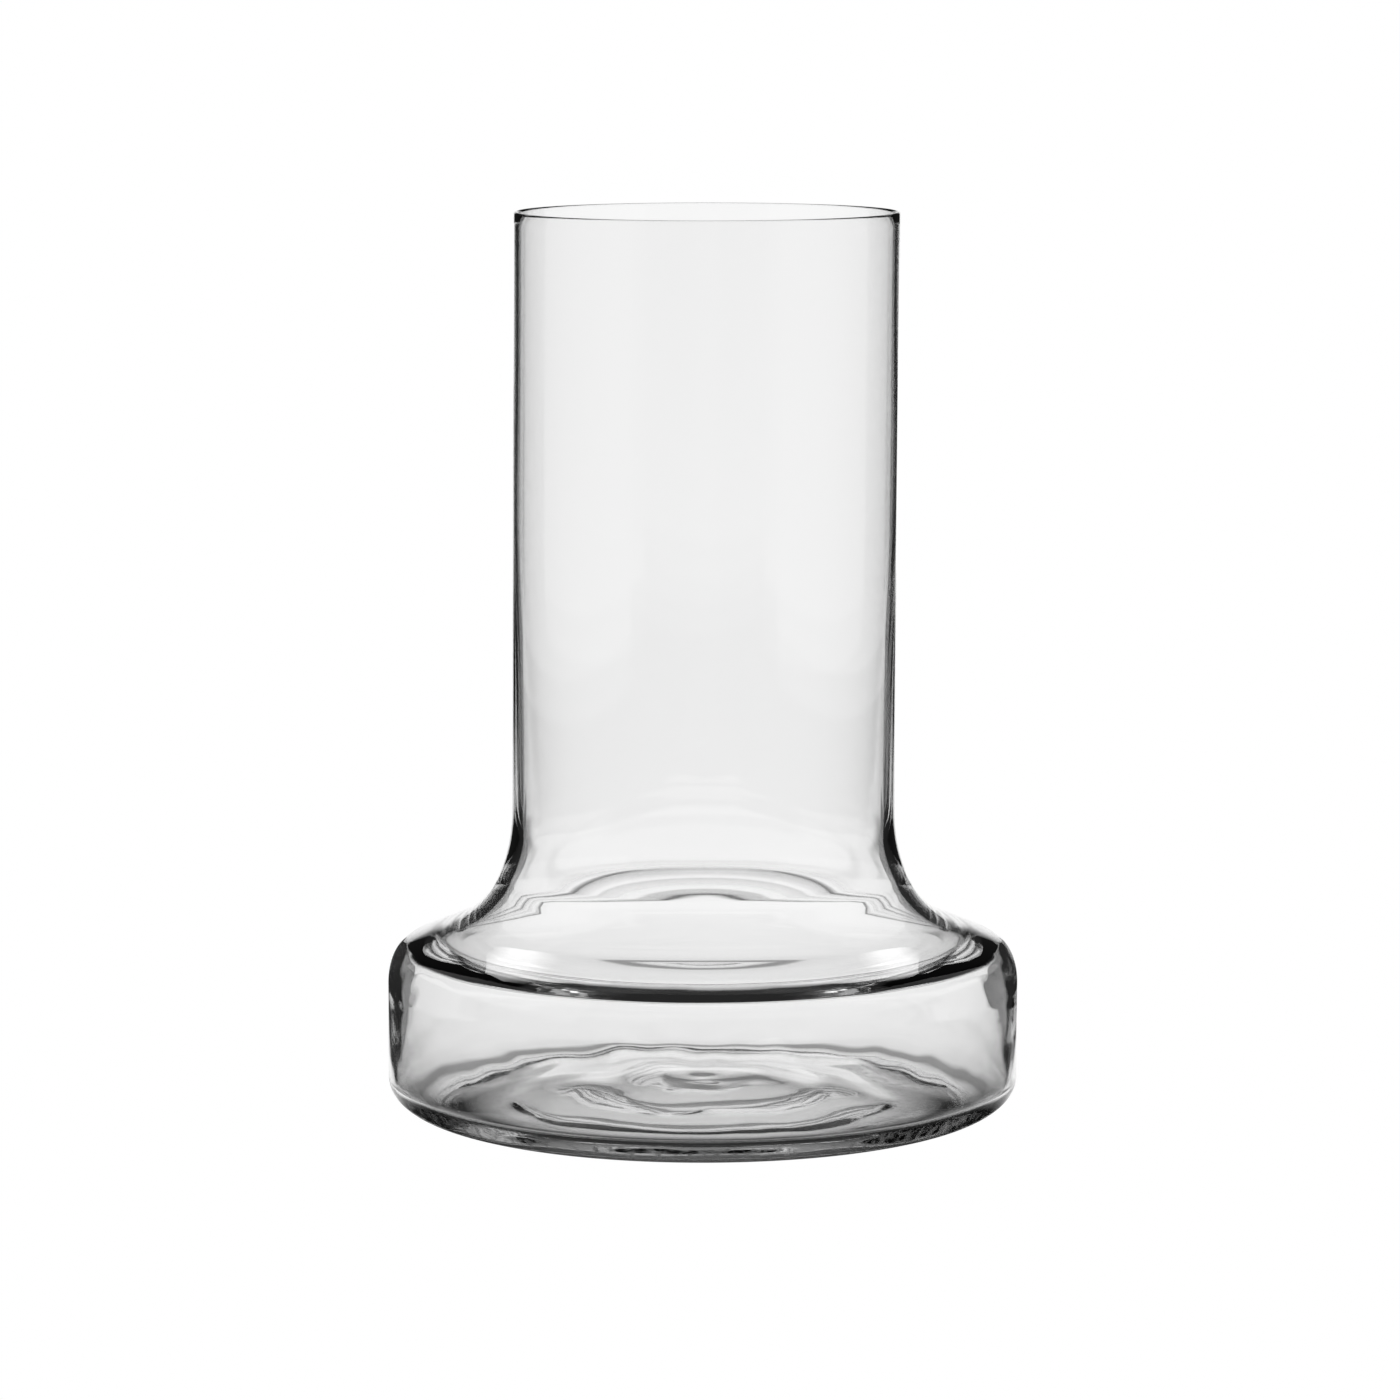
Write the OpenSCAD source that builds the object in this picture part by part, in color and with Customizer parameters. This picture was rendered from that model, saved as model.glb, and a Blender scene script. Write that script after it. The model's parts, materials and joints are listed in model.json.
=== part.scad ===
// Blown glass cylinder vase: a tall thin-walled neck that flares into the
// sloping shoulder of a squat, wide drum with a domed base.
// The vase is one continuous piece of clear glass. Its modules are the zones of
// that piece, cut where the form changes, and they meet face to face.
// The origin is the centre of the underside, +Z is up and runs along the axis.

/* [Whole vase] */
// Height from the underside to the lip, in millimetres
vase_h = 285; // [260:1:320]
// Diameter of the drum, the widest part
drum_d = 200; // [190:1:220]
// Diameter of the neck, which stays the same up to the lip
neck_d = 121; // [110:1:126]

/* [Drum outside] */
// Height at which the upright side of the drum begins to turn in
drum_side_h = 41; // [36:1:50]
// Width of the curve that turns the side into the shoulder
corner_w = 7; // [6:0.5:9]
// Height of the same curve
corner_h = 13; // [11:0.5:15]
// Slope of the shoulder, in degrees from level
shoulder_slope = 22.5; // [20:0.5:24]
// Width of the curve that turns the underside into the side
heel_w = 17; // [12:0.5:19]
// Height of the same curve
heel_h = 11; // [9:0.5:13]

/* [Flare outside] */
// Width of the hollow curve between the shoulder and the neck
flare_w = 25; // [20:1:28]
// Height of the same curve
flare_h = 36; // [28:1:42]

/* [Drum inside] */
// Thickness of the drum's upright side
side_wall = 3.3; // [3:0.1:4.5]
// Height at which the inner side begins to turn in
inner_side_h = 38; // [38:0.5:41]
// Width of the inner curve that turns the side into the shoulder
inner_corner_w = 4.5; // [4:0.5:7]
// Height of the same curve
inner_corner_h = 12.5; // [10:0.5:12.5]
// Slope of the shoulder's inner face, in degrees from level
inner_slope = 15; // [13:0.5:18]
// Width of the curve that turns the floor into the inner side
inner_heel_w = 23; // [18:0.5:26]
// Height of the same curve
inner_heel_h = 7; // [6:0.5:10]

/* [Flare inside] */
// Width of the inner curve between the shoulder and the neck
inner_flare_w = 38.5; // [34:0.5:40]
// Height of the same curve
inner_flare_h = 37.5; // [35:0.5:42]

/* [Mouth] */
// Thickness of the glass at the mouth
mouth_wall = 1.5; // [1.2:0.1:2.5]
// Thickness of the neck at its foot, where the flare begins
neck_foot_wall = 3.1; // [2.4:0.1:3.5]
// Length of the straight bore below the lip band
mouth_bore_l = 95; // [60:5:110]
// Height of the lip band, which ends in a rounded edge
rim_h = 4; // [3:0.5:8]

/* [Base] */
// Thickness of the base at the edge of the floor, above the foot ring
floor_edge_t = 3.5; // [3:0.5:6]
// Height of the domed middle of the floor
floor_mid_t = 9.5; // [8:0.5:12]
// Radius of the hollow in the underside
kick_r = 68; // [60:1:74]
// Depth of the hollow in the underside at its middle
kick_h = 4.5; // [2:0.5:5]

/* [Hidden] */
$fn = 128;

glass = [0.86, 0.91, 0.92, 0.45];
arc_step = 6; // degrees between the points of a curve
taper_steps = 12;
dome_steps = 10;

drum_r = drum_d / 2;
neck_r = neck_d / 2;
bore_r = neck_r - mouth_wall;
inner_drum_r = drum_r - side_wall;
inner_foot_r = neck_r - neck_foot_wall;
floor_r = inner_drum_r - inner_heel_w;
rim_z = vase_h - rim_h;
bore_foot_z = rim_z - mouth_bore_l;
base_top_z = floor_edge_t + inner_heel_h;

// Points along a quarter or less of an ellipse, each [radius, height].
function arc(centre, w, h, from, to) =
    let (steps = ceil(abs(to - from) / arc_step))
    [
        for (i = [0 : steps])
            let (a = from + (to - from) * i / steps)
            centre + [w * cos(a), h * sin(a)]
    ];

// The curve at the top of a side that turns it into a shoulder of the given slope.
function corner_curve(side_r, side_h, w, h, slope) =
    arc([side_r - w, side_h], w, h, 0, atan2(h * cos(slope), w * sin(slope)));

// The hollow curve that leaves the shoulder at start and ends upright at radius wall_r.
function flare_curve(start, w, h, slope, wall_r) =
    let (
        bend = atan2(h * cos(slope), w * sin(slope)),
        start_r = wall_r + w * (1 - cos(bend)),
        start_z = start.y + (start.x - start_r) * tan(slope)
    )
    arc([wall_r + w, start_z + h * sin(bend)], w, h, 180 + bend, 180);

// Height above the edge of a smooth round swelling, at radius r.
function dome(r, edge_r, rise) = rise * (1 + cos(180 * r / edge_r)) / 2;

function swelling(edge_r, edge_z, rise) =
    [
        for (i = [0 : dome_steps])
            let (r = edge_r * i / dome_steps)
            [r, edge_z + dome(r, edge_r, rise)]
    ];

function last(points) = points[len(points) - 1];

function backwards(points) = [for (i = [len(points) - 1 : -1 : 0]) points[i]];

// Outside of the glass
outer_heel = arc([drum_r - heel_w, heel_h], heel_w, heel_h, -90, 0);
outer_corner = corner_curve(drum_r, drum_side_h, corner_w, corner_h, shoulder_slope);
outer_flare = flare_curve(last(outer_corner), flare_w, flare_h, shoulder_slope, neck_r);
underside = swelling(kick_r, 0, kick_h);
neck_foot_z = last(outer_flare).y;

// Inside of the glass
inner_heel = arc([floor_r, base_top_z], inner_heel_w, inner_heel_h, -90, 0);
inner_corner = corner_curve(inner_drum_r, inner_side_h, inner_corner_w, inner_corner_h, inner_slope);
inner_flare = flare_curve(last(inner_corner), inner_flare_w, inner_flare_h, inner_slope, inner_foot_r);
floor_top = swelling(floor_r, floor_edge_t, floor_mid_t - floor_edge_t);
inner_foot_z = last(inner_flare).y;

// Radius of the bore where it narrows in wall thickness, between the flare and the straight bore.
function taper_r(z) =
    let (t = (z - inner_foot_z) / (bore_foot_z - inner_foot_z))
    inner_foot_r + (bore_r - inner_foot_r) * (1 - cos(180 * t)) / 2;

inner_taper =
    [
        for (i = [1 : taper_steps])
            let (z = inner_foot_z + (bore_foot_z - inner_foot_z) * i / taper_steps)
            [taper_r(z), z]
    ];

// Radius of the inner surface at height z on a run of its points that rises steadily.
function radius_at(points, z) = lookup(z, [for (p = points) [p.y, p.x]]);

inner_run = concat(inner_flare, inner_taper);
neck_foot_in = [radius_at(inner_run, neck_foot_z), neck_foot_z];

function below(points, z) = [for (p = points) if (p.y < z - 0.01) p];
function above(points, z) = [for (p = points) if (p.y > z + 0.01) p];

// A ring of glass between an outer and an inner line, both running upwards.
module turned(outer, inner) {
    color(glass)
        rotate_extrude()
            polygon(concat(outer, backwards(inner)));
}

// The lip: a short straight band with a round melted edge.
module rim() {
    lip_r = mouth_wall / 2;
    color(glass)
        rotate_extrude()
            union() {
                translate([bore_r, rim_z])
                    square([mouth_wall, rim_h - lip_r]);
                translate([bore_r + lip_r, vase_h - lip_r])
                    circle(r = lip_r, $fn = 32);
            }
}

// The straight neck: thin at the mouth, a little thicker at its foot.
module neck() {
    turned(
        [[neck_r, neck_foot_z], [neck_r, rim_z]],
        concat([neck_foot_in], above(inner_run, neck_foot_z), [[bore_r, rim_z]])
    );
}

// The hollow curve from the shoulder up to the neck.
module flare() {
    turned(
        outer_flare,
        concat(below(inner_run, neck_foot_z), [neck_foot_in])
    );
}

// The rounded upper corner of the drum and the slope above it.
module shoulder() {
    turned(
        concat(outer_corner, [outer_flare[0]]),
        concat(inner_corner, [inner_flare[0]])
    );
}

// The upright side of the drum.
module drum_wall() {
    turned(
        [[drum_r, base_top_z], [drum_r, drum_side_h]],
        [[inner_drum_r, base_top_z], [inner_drum_r, inner_side_h]]
    );
}

// The base: domed floor, rounded heel and hollow underside.
module base() {
    turned(
        concat(underside, outer_heel, [[drum_r, base_top_z]]),
        concat(floor_top, inner_heel)
    );
}

rim();
neck();
flare();
shoulder();
drum_wall();
base();
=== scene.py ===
import json
import math

import bmesh
import bpy
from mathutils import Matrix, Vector, noise


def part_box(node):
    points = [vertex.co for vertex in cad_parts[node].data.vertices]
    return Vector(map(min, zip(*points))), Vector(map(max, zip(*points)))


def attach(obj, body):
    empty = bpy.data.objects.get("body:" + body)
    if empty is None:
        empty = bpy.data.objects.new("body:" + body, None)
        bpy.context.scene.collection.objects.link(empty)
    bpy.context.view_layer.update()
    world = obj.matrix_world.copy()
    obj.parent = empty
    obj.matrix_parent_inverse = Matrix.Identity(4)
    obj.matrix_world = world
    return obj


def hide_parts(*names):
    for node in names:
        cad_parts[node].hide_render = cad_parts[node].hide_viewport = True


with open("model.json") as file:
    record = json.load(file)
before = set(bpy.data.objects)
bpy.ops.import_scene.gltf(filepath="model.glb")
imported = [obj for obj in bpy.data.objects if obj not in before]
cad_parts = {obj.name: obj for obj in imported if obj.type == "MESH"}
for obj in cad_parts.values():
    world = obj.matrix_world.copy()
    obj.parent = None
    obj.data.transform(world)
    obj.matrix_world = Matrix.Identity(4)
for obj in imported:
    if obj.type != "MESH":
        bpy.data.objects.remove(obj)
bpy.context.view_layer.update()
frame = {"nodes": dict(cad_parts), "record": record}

# A blown glass cylinder vase: one continuous piece of clear glass on a white floor.

MM = 0.001

# Sizes taken from the frame, in metres
mounts = {m["name"]: m for m in frame["record"]["mounts"]}
DRUM_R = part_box("drum_wall")[1][0]
NECK_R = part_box("rim")[1][0]
VASE_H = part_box("rim")[1][2]
RIM_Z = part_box("rim")[0][2]
BORE_R = mounts["mouth"]["dims"]["r_mm"] * MM
BORE_FOOT_Z = RIM_Z - mounts["mouth"]["dims"]["length_mm"] * MM

# Outside of the drum, shoulder and flare; the slope is in degrees
OUTER = dict(
    side_r=DRUM_R,
    side_h=41 * MM,
    corner_w=7 * MM,
    corner_h=13 * MM,
    slope=22.5,
    flare_w=25 * MM,
    flare_h=36 * MM,
    wall_r=NECK_R,
)

# Inside of the same zones
INNER = dict(
    side_r=DRUM_R - 3.3 * MM,
    side_h=38 * MM,
    corner_w=4.5 * MM,
    corner_h=12.5 * MM,
    slope=15,
    flare_w=38.5 * MM,
    flare_h=37.5 * MM,
    wall_r=NECK_R - 3.1 * MM,
)

# Base: rounded heel outside and inside, thickness of the floor, domed underside
HEEL_W = 17 * MM
HEEL_H = 11 * MM
INNER_HEEL_W = 23 * MM
INNER_HEEL_H = 7 * MM
FLOOR_EDGE = 3.5 * MM
FLOOR_MID = 9.5 * MM
KICK_R = 68 * MM
KICK_H = 4.5 * MM

# The bends between these heights are eased
OUTER_EASE = (76 * MM, 130 * MM)
INNER_EASE = (70 * MM, 130 * MM)
EASE_ROUNDS = 10

# Fineness of the mesh: steps round the axis, degrees along arcs, steps along the
# domes and the taper, and the gaps between points on straight runs
TURNS = 288
ARC_STEP = 3.0
LIP_STEP = 18
KICK_STEPS = 20
FLOOR_STEPS = 76
TAPER_STEPS = 30
FOOT_GAP = 4 * MM
SIDE_GAP = 3 * MM
INNER_SIDE_GAP = 2 * MM
SLOPE_GAP = 2.5 * MM
NECK_GAP = 4 * MM
BORE_GAP = 6 * MM

# Waves in the glass: height, size of the bumps, squeeze along z, start of the noise.
# The floor also has ripples in rings, which the warp pushes in and out.
SEED = 5.0
SKIN_WAVE = (0.02 * MM, 40 * MM, 1, SEED + 7)
SIDE_WAVE = (0.14 * MM, 22 * MM, 1.6, SEED)
SIDE_DETAIL = (0.049 * MM, 8 * MM, 1.5, SEED + 5)
NECK_WAVE = (0.05 * MM, 30 * MM, 1 / 3, SEED + 9)
UNDER_WAVE = (0.2 * MM, 24 * MM, 0, SEED + 4)
FLOOR_WAVE = (0.5 * MM, 38 * MM, 0, SEED + 1)
FLOOR_DETAIL = (0.015 * MM, 6 * MM, 0, SEED + 3)
RIPPLE_WARP = (7 * MM, 34 * MM, 0, SEED + 2)
RIPPLE_H = 0.36 * MM
RIPPLE_GAP = 24 * MM

# Where each wave lives: from, to, and how softly it ends
SIDE_HEIGHTS = (12 * MM, 46 * MM, 10 * MM)
SIDE_RADII = (86 * MM, 120 * MM, 6 * MM)
NECK_HEIGHTS = (90 * MM, 270 * MM, 30 * MM)
UNDER_RADII = (0, 55 * MM, 12 * MM)
UNDER_TOP = 8 * MM
FLOOR_RADII = (0, 72 * MM, 14 * MM)
FLOOR_TOP = 20 * MM
RIPPLE_RADII = (8 * MM, 60 * MM, 10 * MM)

# The ripples are lively in front and calmer at the back
LIVELY_DEPTHS = (-80 * MM, -10 * MM, 22 * MM)
BACK_CALM = 0.25

# The vase leans over by this much at the rim, and more steeply towards the top
LEAN = 1.4 * MM
LEAN_POWER = 1.5


# The profile --------------------------------------------------------------

def arc(cx, cz, w, h, start, end, step=ARC_STEP):
    """Points along an ellipse from one angle to another, in degrees."""
    n = max(2, math.ceil(abs(end - start) / step))
    angles = [math.radians(start + (end - start) * i / n) for i in range(n + 1)]
    return [(cx + w * math.cos(a), cz + h * math.sin(a)) for a in angles]


def line(a, b, step):
    """Points between a and b, without the ends."""
    n = max(1, round(math.dist(a, b) / step))
    return [(a[0] + (b[0] - a[0]) * i / n, a[1] + (b[1] - a[1]) * i / n) for i in range(1, n)]


def swelling(edge_r, edge_z, rise, n):
    """A smooth low dome from the axis to its edge."""
    radii = [edge_r * i / n for i in range(n + 1)]
    return [(r, edge_z + rise * (1 + math.cos(math.pi * r / edge_r)) / 2) for r in radii]


def top_curve(side_r, side_h, corner_w, corner_h, slope, flare_w, flare_h, wall_r):
    """Corner, sloping shoulder and flare of the drum, from its side up to the neck."""
    s = math.radians(slope)
    turn = math.degrees(math.atan2(corner_h * math.cos(s), corner_w * math.sin(s)))
    bend = math.atan2(flare_h * math.cos(s), flare_w * math.sin(s))
    corner = arc(side_r - corner_w, side_h, corner_w, corner_h, 0, turn)
    foot_r = wall_r + flare_w * (1 - math.cos(bend))
    foot_z = corner[-1][1] + (corner[-1][0] - foot_r) * math.tan(s)
    flare = arc(wall_r + flare_w, foot_z + flare_h * math.sin(bend), flare_w, flare_h,
                180 + math.degrees(bend), 180)
    return corner + line(corner[-1], flare[0], SLOPE_GAP) + flare


def softened(points, low, high):
    """The same line with its bends between two heights eased."""
    for _ in range(EASE_ROUNDS):
        points = [
            (0.25 * points[i - 1][0] + 0.5 * p[0] + 0.25 * points[i + 1][0], p[1])
            if 0 < i < len(points) - 1 and low < p[1] < high else p
            for i, p in enumerate(points)
        ]
    return points


def outer_surface():
    """From the middle of the underside, round the heel and up to the rim."""
    under = swelling(KICK_R, 0, KICK_H, KICK_STEPS)
    heel = arc(DRUM_R - HEEL_W, HEEL_H, HEEL_W, HEEL_H, -90, 0)
    top = top_curve(**OUTER)
    points = under + line(under[-1], heel[0], FOOT_GAP) + heel
    points += line(heel[-1], top[0], SIDE_GAP) + top
    points += line(top[-1], (NECK_R, RIM_Z), NECK_GAP) + [(NECK_R, RIM_Z)]
    return softened(points, *OUTER_EASE)


def inner_surface():
    """From the rim down the bore to the middle of the floor."""
    top = top_curve(**INNER)
    foot_r, foot_z = top[-1]
    taper = []
    for i in range(1, TAPER_STEPS + 1):
        t = i / TAPER_STEPS
        taper.append((foot_r + (BORE_R - foot_r) * (1 - math.cos(math.pi * t)) / 2,
                      foot_z + (BORE_FOOT_Z - foot_z) * t))
    floor_r = INNER["side_r"] - INNER_HEEL_W
    floor = swelling(floor_r, FLOOR_EDGE, FLOOR_MID - FLOOR_EDGE, FLOOR_STEPS)
    heel = arc(floor_r, FLOOR_EDGE + INNER_HEEL_H, INNER_HEEL_W, INNER_HEEL_H, -90, 0)
    points = floor[:-1] + heel + line(heel[-1], top[0], INNER_SIDE_GAP) + top + taper
    points += line(taper[-1], (BORE_R, RIM_Z), BORE_GAP) + [(BORE_R, RIM_Z)]
    return softened(points, *INNER_EASE)[::-1]


def profile():
    """The whole section of the glass, from axis to axis over the rounded lip."""
    lip_r = (NECK_R - BORE_R) / 2
    lip = arc(BORE_R + lip_r, VASE_H - lip_r, lip_r, lip_r, 0, 180, LIP_STEP)
    return outer_surface() + lip + inner_surface()


# The mesh -----------------------------------------------------------------

def hump(x, low, high, soft):
    """1 between low and high, falling smoothly to 0 over the distance soft outside them."""
    t = min(1.0, max(0.0, 1 - max(low - x, x - high) / soft))
    return t * t * (3 - 2 * t)


def wave(x, y, z, height, size, squeeze, start):
    """Smooth noise of up to about this height, whose bumps are roughly size across."""
    at = (x / size + start, y / size - start, z * squeeze / size + 2 * start)
    return height * noise.noise(Vector(at))


def inner_shift(r, x, y, z):
    """How far a point of the inside lies off the true form, outwards and upwards."""
    side = hump(z, *SIDE_HEIGHTS) * hump(r, *SIDE_RADII)
    out = side * (wave(x, y, z, *SIDE_WAVE) + wave(x, y, z, *SIDE_DETAIL))
    out += hump(z, *NECK_HEIGHTS) * wave(x, y, z, *NECK_WAVE)

    on_floor = hump(r, *FLOOR_RADII) if z < FLOOR_TOP else 0
    turns = (r + wave(x, y, z, *RIPPLE_WARP)) / RIPPLE_GAP
    ripple = RIPPLE_H * hump(r, *RIPPLE_RADII) * math.sin(2 * math.pi * turns)
    lively = BACK_CALM + (1 - BACK_CALM) * hump(y, *LIVELY_DEPTHS)
    fine = lively * (ripple + wave(x, y, z, *FLOOR_DETAIL))
    return out, on_floor * (wave(x, y, z, *FLOOR_WAVE) + fine)


def outer_shift(r, x, y, z):
    """The same for a point of the outside."""
    under = hump(r, *UNDER_RADII) if z < UNDER_TOP else 0
    return wave(x, y, z, *SKIN_WAVE), under * wave(x, y, z, *UNDER_WAVE)


def place(r, z, angle, inside):
    """Where a point of the profile lies on the vase, with the unevenness of blown glass."""
    x, y = r * math.cos(angle), r * math.sin(angle)
    out, up = inner_shift(r, x, y, z) if inside else outer_shift(r, x, y, z)
    if r > 0:
        x, y = x * (1 + out / r), y * (1 + out / r)
    return Vector((x + LEAN * (z / VASE_H) ** LEAN_POWER, y, z + up))


def revolve(name, points):
    """A closed mesh of revolution. The first and last points lie on the axis."""
    bm = bmesh.new()
    low = bm.verts.new(place(0, points[0][1], 0, False))
    high = bm.verts.new(place(0, points[-1][1], 0, True))
    # Points past the highest one are on the inside
    lip = max(range(len(points)), key=lambda k: points[k][1])
    angles = [2 * math.pi * i / TURNS for i in range(TURNS)]
    rings = [
        [bm.verts.new(place(r, z, a, k > lip)) for a in angles]
        for k, (r, z) in enumerate(points[1:-1], start=1)
    ]
    for a, b in zip(rings, rings[1:]):
        for i in range(TURNS):
            j = (i + 1) % TURNS
            bm.faces.new((a[i], a[j], b[j], b[i]))
    for i in range(TURNS):
        j = (i + 1) % TURNS
        bm.faces.new((low, rings[0][j], rings[0][i]))
        bm.faces.new((high, rings[-1][i], rings[-1][j]))
    bmesh.ops.recalc_face_normals(bm, faces=bm.faces)
    mesh = bpy.data.meshes.new(name)
    bm.to_mesh(mesh)
    bm.free()
    mesh.polygons.foreach_set("use_smooth", [True] * len(mesh.polygons))
    obj = bpy.data.objects.new(name, mesh)
    bpy.context.collection.objects.link(obj)
    return obj


# Shader helpers -----------------------------------------------------------

def math_node(tree, operation, a, b):
    """The result of a Math node over two numbers or sockets."""
    node = tree.nodes.new("ShaderNodeMath")
    node.operation = operation
    for socket, v in zip(node.inputs, (a, b)):
        if isinstance(v, (int, float)):
            socket.default_value = v
        else:
            tree.links.new(v, socket)
    return node.outputs[0]


def ranged(tree, value, low, high, to_low, to_high, interpolation="LINEAR"):
    """The value mapped from one range to another, held at the ends."""
    node = tree.nodes.new("ShaderNodeMapRange")
    node.interpolation_type = interpolation
    limits = {"From Min": low, "From Max": high, "To Min": to_low, "To Max": to_high}
    for name, v in limits.items():
        node.inputs[name].default_value = v
    tree.links.new(value, node.inputs["Value"])
    return node.outputs[0]


def noise_of(tree, where, stretch, scale, detail):
    """Noise over the object's own coordinates."""
    mapping = tree.nodes.new("ShaderNodeMapping")
    mapping.inputs["Scale"].default_value = stretch
    tree.links.new(where, mapping.inputs["Vector"])
    tex = tree.nodes.new("ShaderNodeTexNoise")
    tex.inputs["Scale"].default_value = scale
    tex.inputs["Detail"].default_value = detail
    tree.links.new(mapping.outputs[0], tex.inputs["Vector"])
    return tex.outputs[0]


def length_of(tree, vector, shift, scale):
    """Length of (vector + shift) * scale."""
    move = tree.nodes.new("ShaderNodeVectorMath")
    move.operation = "ADD"
    move.inputs[1].default_value = shift
    size = tree.nodes.new("ShaderNodeVectorMath")
    size.operation = "MULTIPLY"
    size.inputs[1].default_value = scale
    dist = tree.nodes.new("ShaderNodeVectorMath")
    dist.operation = "LENGTH"
    tree.links.new(vector, move.inputs[0])
    tree.links.new(move.outputs[0], size.inputs[0])
    tree.links.new(size.outputs[0], dist.inputs[0])
    return dist.outputs["Value"]


def ramp_of(tree, value, stops, reach):
    """A grey ramp over distance, with its stops at (distance, grey)."""
    ramp = tree.nodes.new("ShaderNodeValToRGB")
    els = ramp.color_ramp.elements
    els.remove(els[-1])
    els[0].position = stops[0][0] / reach
    els[0].color = (stops[0][1],) * 3 + (1,)
    for at, grey in stops[1:]:
        els.new(at / reach).color = (grey, grey, grey, 1)
    tree.links.new(math_node(tree, "MULTIPLY", value, 1 / reach), ramp.inputs[0])
    return ramp.outputs["Color"]


# Glass --------------------------------------------------------------------

IOR = 1.5

# Noise in the glass: stretch, scale and detail
CORDS = ((1, 1, 0.3), 14, 2)
SCUFFS = ((1, 1, 1), 420, 6)
TOOL_MARKS = ((1, 1, 0.22), 55, 1)

# Which part of the noise is used, and what it becomes
TINT = (0.3, 0.7, 0.978, 0.992)
WEAR = (0.5, 0.75, 0.0, 0.35)
WEAR_TOP = 0.6 * MM
MARKS_DEPTH = 0.03 * MM


def glass():
    """Clear soda glass: cords of slightly uneven tint, faint tool marks, a scuffed foot ring."""
    mat = bpy.data.materials.new("clear_glass")
    mat.use_nodes = True
    tree = mat.node_tree
    bsdf = tree.nodes["Principled BSDF"]
    bsdf.inputs["IOR"].default_value = IOR
    bsdf.inputs["Transmission Weight"].default_value = 1.0
    where = tree.nodes.new("ShaderNodeTexCoord").outputs["Object"]

    tint = ranged(tree, noise_of(tree, where, *CORDS), *TINT)
    tree.links.new(tint, bsdf.inputs["Base Color"])

    axes = tree.nodes.new("ShaderNodeSeparateXYZ")
    tree.links.new(where, axes.inputs[0])
    foot = ranged(tree, axes.outputs["Z"], WEAR_TOP, 0.0, 0.0, 1.0)
    scuffs = ranged(tree, noise_of(tree, where, *SCUFFS), *WEAR)
    tree.links.new(math_node(tree, "MULTIPLY", foot, scuffs), bsdf.inputs["Roughness"])

    bump = tree.nodes.new("ShaderNodeBump")
    bump.inputs["Strength"].default_value = 1.0
    bump.inputs["Distance"].default_value = MARKS_DEPTH
    tree.links.new(noise_of(tree, where, *TOOL_MARKS), bump.inputs["Height"])
    tree.links.new(bump.outputs[0], bsdf.inputs["Normal"])
    return mat


vase = revolve("vase_glass", profile())
vase.data.materials.append(glass())
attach(vase, "root")
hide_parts(*frame["nodes"])


# Camera -------------------------------------------------------------------

# The angle is in degrees, the lens and sensor are in mm
CAMERA_AT = (-0.0008, -1.8, 0.370)
LOOKS_DOWN = 7.57
LENS = 147.6
SENSOR = 36

cam_data = bpy.data.cameras.new("camera")
cam_data.lens = LENS
cam_data.sensor_width = SENSOR
cam = bpy.data.objects.new("camera", cam_data)
bpy.context.collection.objects.link(cam)
cam.location = CAMERA_AT
cam.rotation_euler = (math.radians(90 - LOOKS_DOWN), 0, 0)
bpy.context.scene.camera = cam


# Stage --------------------------------------------------------------------
# The camera sees a white floor and background. Clear glass shows only what stands
# around it, so its edges are drawn by cards that only the glass sees: black flags
# beside the field of view, grey cards at the sides and in front, shade on the floor.

# Greys of the cards
DARK = 0.02
SIDE_GREY = 0.42
FRONT_GREY = 0.3

# Half width and level of the floor, and the heights where the cards and their greys end
FLOOR = 12.0
FLOOR_Z = -0.3 * MM
CARD_TOP = 1.2
GREY_TOP = 0.36

# Flags beside the far field, and low ones close to the drum
FLAG_X = 0.26
FLAG_NEAR = 0.22
FLAG_FAR = 0.9
FLAG_FOOT = -0.5
LOW_NEAR = -0.3
LOW_FAR = 0.24
LOW_TOP = 0.06

# Cards at the sides, and masks in front: each is black up to its low height, then grey
SIDE_NEAR = -0.6
SIDE_LOW = 0.1
MASK_Y = -0.3
MASK_W = 0.3
MASK_FOOT = 0.001
MASK_LOW = 0.13

# Shade on the floor, as stops of (distance, grey): a ring where the vase stands, a
# dark half in front of the axis, light under the middle of the vase, and dark sides
CONTACT = 0.6
RINGS = [(0.0, 1.0), (0.088, 1.0), (0.091, 0.4), (0.096, 0.4), (0.1, 0.9), (0.3, 1.0)]
FRONT = [(0.0, 0.15), (0.4, 0.05), (0.85, 0.02), (1.1, 1.0)]
FRONT_REACH = 4.0
FRONT_MID = -0.06
FRONT_W = 0.125
FRONT_L = 0.09
UNDER_LIT = [(0.0, 0.85), (0.062, 0.85), (0.078, 0.0)]
SIDE_X = 0.128
SIDE_SOFT = 0.008
SIDE_FAR = 0.35
SIDE_FADE = 0.1
SIDE_SHADE = 0.97

# Two small soft lights behind: azimuth, elevation, half width, half height, power
STRIPS = [(-27, 40, 0.035, 0.09, 2.4), (26, 39, 0.03, 0.08, 2.4)]
STRIP_FAR = 0.7
STRIP_AIM = Vector((0, 0, 0.05))
STRIP_FADE = [(0.0, 1.0), (0.25, 0.9), (0.6, 0.2), (0.85, 0.0)]


def emitter(name, strength=1.0):
    """A glowing material and its Emission node."""
    mat = bpy.data.materials.new(name)
    mat.use_nodes = True
    tree = mat.node_tree
    tree.nodes.clear()
    light = tree.nodes.new("ShaderNodeEmission")
    light.inputs["Strength"].default_value = strength
    out = tree.nodes.new("ShaderNodeOutputMaterial")
    tree.links.new(light.outputs[0], out.inputs["Surface"])
    return mat, light


def plain(name, grey):
    """A glowing material of one grey."""
    mat, light = emitter(name)
    light.inputs["Color"].default_value = (grey, grey, grey, 1)
    return mat


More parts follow.
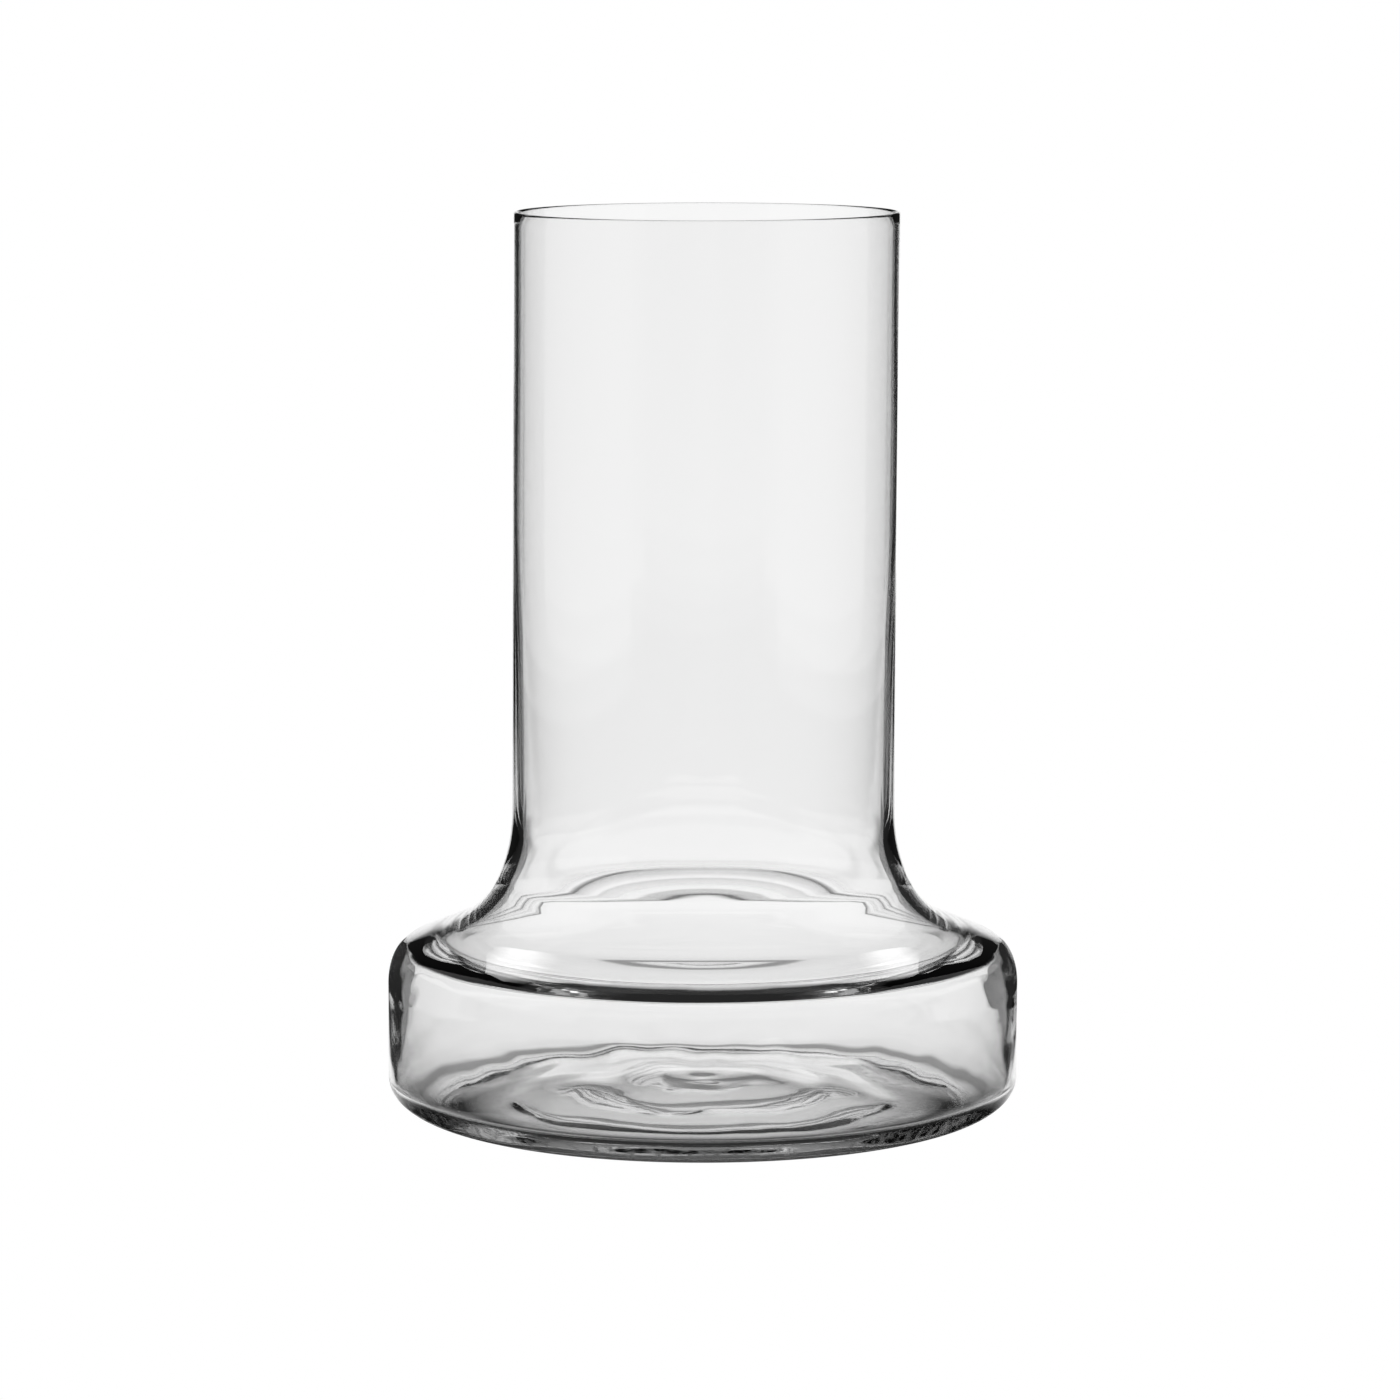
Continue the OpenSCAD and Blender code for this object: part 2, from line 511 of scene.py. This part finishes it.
def faded(name, power):
    """A glowing material that fades out towards the edges of its card."""
    mat, light = emitter(name, power)
    tree = mat.node_tree
    where = tree.nodes.new("ShaderNodeTexCoord").outputs["Generated"]
    off_middle = length_of(tree, where, (-0.5, -0.5, -0.5), (1, 1, 1))
    tree.links.new(ramp_of(tree, off_middle, STRIP_FADE, 1.0), light.inputs["Color"])
    return mat


def shade():
    """The shade on the floor that the vase stands in."""
    mat, light = emitter("floor_shadow")
    tree = mat.node_tree
    where = tree.nodes.new("ShaderNodeTexCoord").outputs["Object"]
    axes = tree.nodes.new("ShaderNodeSeparateXYZ")
    tree.links.new(where, axes.inputs[0])

    off_centre = length_of(tree, where, (0, 0, 0), (1, 1, 0))
    off_front = length_of(tree, where, (0, -FRONT_MID, 0), (1 / FRONT_W, 1 / FRONT_L, 0))
    ring = ramp_of(tree, off_centre, RINGS, CONTACT)
    front = ramp_of(tree, off_front, FRONT, FRONT_REACH)
    lit = ramp_of(tree, off_centre, UNDER_LIT, CONTACT)
    grey = math_node(tree, "MULTIPLY", ring, math_node(tree, "MAXIMUM", front, lit))

    off_axis = math_node(tree, "ABSOLUTE", axes.outputs["X"], 0)
    side = ranged(tree, off_axis, SIDE_X - SIDE_SOFT, SIDE_X + SIDE_SOFT, 0.0, SIDE_SHADE)
    near = ranged(tree, axes.outputs["Y"], SIDE_FAR - SIDE_FADE, SIDE_FAR + SIDE_FADE, 1.0, 0.0)
    dimmed = math_node(tree, "SUBTRACT", 1.0, math_node(tree, "MULTIPLY", side, near))
    tree.links.new(math_node(tree, "MULTIPLY", grey, dimmed), light.inputs["Color"])
    return mat


def quad(name, corners, mat):
    """A four-cornered piece of the stage."""
    mesh = bpy.data.meshes.new(name)
    mesh.from_pydata(corners, [], [(0, 1, 2, 3)])
    mesh.materials.append(mat)
    obj = bpy.data.objects.new(name, mesh)
    bpy.context.collection.objects.link(obj)
    return obj


def card(name, corners, mat):
    """A piece of the stage that only the glass sees. It turns about the vase with the
    camera, so that every viewpoint gets the same arrangement."""
    obj = quad(name, corners, mat)
    obj.visible_camera = False
    obj.visible_shadow = False
    obj.visible_diffuse = False
    turn = obj.constraints.new("COPY_ROTATION")
    turn.target = cam
    turn.use_x = turn.use_y = False


def level(half, z):
    """Corners of a level square about the axis."""
    return [(-half, -half, z), (half, -half, z), (half, half, z), (-half, half, z)]


def beside(x, near, far, low, high):
    """Corners of an upright rectangle at one side."""
    return [(x, near, low), (x, far, low), (x, far, high), (x, near, high)]


def across(y, half, low, high):
    """Corners of an upright rectangle in front."""
    return [(-half, y, low), (half, y, low), (half, y, high), (-half, y, high)]


def tilted(azimuth, elevation, half_w, half_h):
    """Corners of a rectangle behind the vase that faces it."""
    a, e = math.radians(azimuth), math.radians(elevation)
    away = Vector((math.sin(a) * math.cos(e), math.cos(a) * math.cos(e), math.sin(e)))
    right = Vector((math.cos(a), -math.sin(a), 0))
    up = right.cross(away)
    signs = ((-1, -1), (1, -1), (1, 1), (-1, 1))
    middle = STRIP_AIM + away * STRIP_FAR
    return [middle + right * sx * half_w + up * sy * half_h for sx, sy in signs]


white = plain("white", 1.0)
black = plain("black", DARK)
side_grey = plain("side_grey", SIDE_GREY)
front_grey = plain("front_grey", FRONT_GREY)
side_bands = [(0.0, SIDE_LOW, black), (SIDE_LOW, GREY_TOP, side_grey), (GREY_TOP, CARD_TOP, black)]
front_bands = [(MASK_FOOT, MASK_LOW, black), (MASK_LOW, GREY_TOP, front_grey),
               (GREY_TOP, CARD_TOP, black)]

quad("floor", level(FLOOR, FLOOR_Z), white)
card("contact", level(CONTACT, FLOOR_Z / 2), shade())
for side in (-1, 1):
    card(f"flag_{side + 1}",
         beside(side * FLAG_X, FLAG_NEAR, FLAG_FAR, FLAG_FOOT, CARD_TOP), black)
for side in (-1, 1):
    card(f"low_flag_{side + 1}", beside(side * SIDE_X, LOW_NEAR, LOW_FAR, 0.0, LOW_TOP), black)
for k, (low, high, mat) in enumerate(front_bands):
    card(f"mask_{k}", across(MASK_Y, MASK_W, low, high), mat)
for side in (-1, 1):
    for k, (low, high, mat) in enumerate(side_bands):
        card(f"side_{side + 1}_{k}", beside(side * FLAG_X, SIDE_NEAR, FLAG_NEAR, low, high), mat)
for k, (azimuth, elevation, half_w, half_h, power) in enumerate(STRIPS):
    card(f"strip_{k}", tilted(azimuth, elevation, half_w, half_h), faded(f"strip_{k}", power))


# World and view -----------------------------------------------------------
# White to the camera. The glass sees a sky that turns from white to dark round this
# elevation, over this much to either side of it, in degrees.

CEIL = 6.5
CEIL_SOFT = 4


def sky(world):
    """Fills in the world's nodes."""
    world.use_nodes = True
    tree = world.node_tree
    tree.nodes.clear()
    axes = tree.nodes.new("ShaderNodeSeparateXYZ")
    tree.links.new(tree.nodes.new("ShaderNodeTexCoord").outputs["Generated"], axes.inputs[0])
    low, high = (math.sin(math.radians(CEIL + soft)) for soft in (-CEIL_SOFT, CEIL_SOFT))
    grey = ranged(tree, axes.outputs["Z"], low, high, 1.0, DARK, "SMOOTHSTEP")
    to_glass = tree.nodes.new("ShaderNodeBackground")
    tree.links.new(grey, to_glass.inputs["Color"])
    to_camera = tree.nodes.new("ShaderNodeBackground")
    to_camera.inputs["Color"].default_value = (1, 1, 1, 1)
    mix = tree.nodes.new("ShaderNodeMixShader")
    path = tree.nodes.new("ShaderNodeLightPath")
    tree.links.new(path.outputs["Is Camera Ray"], mix.inputs["Fac"])
    tree.links.new(to_glass.outputs[0], mix.inputs[1])
    tree.links.new(to_camera.outputs[0], mix.inputs[2])
    out = tree.nodes.new("ShaderNodeOutputWorld")
    tree.links.new(mix.outputs[0], out.inputs["Surface"])


scene = bpy.context.scene
scene.world = bpy.data.worlds.new("world")
sky(scene.world)
scene.view_settings.view_transform = "Standard"

# Enough bounces for light to find its way out of the thick glass of the base
scene.cycles.max_bounces = 32
scene.cycles.transmission_bounces = 32
scene.cycles.glossy_bounces = 16
scene.cycles.transparent_max_bounces = 32
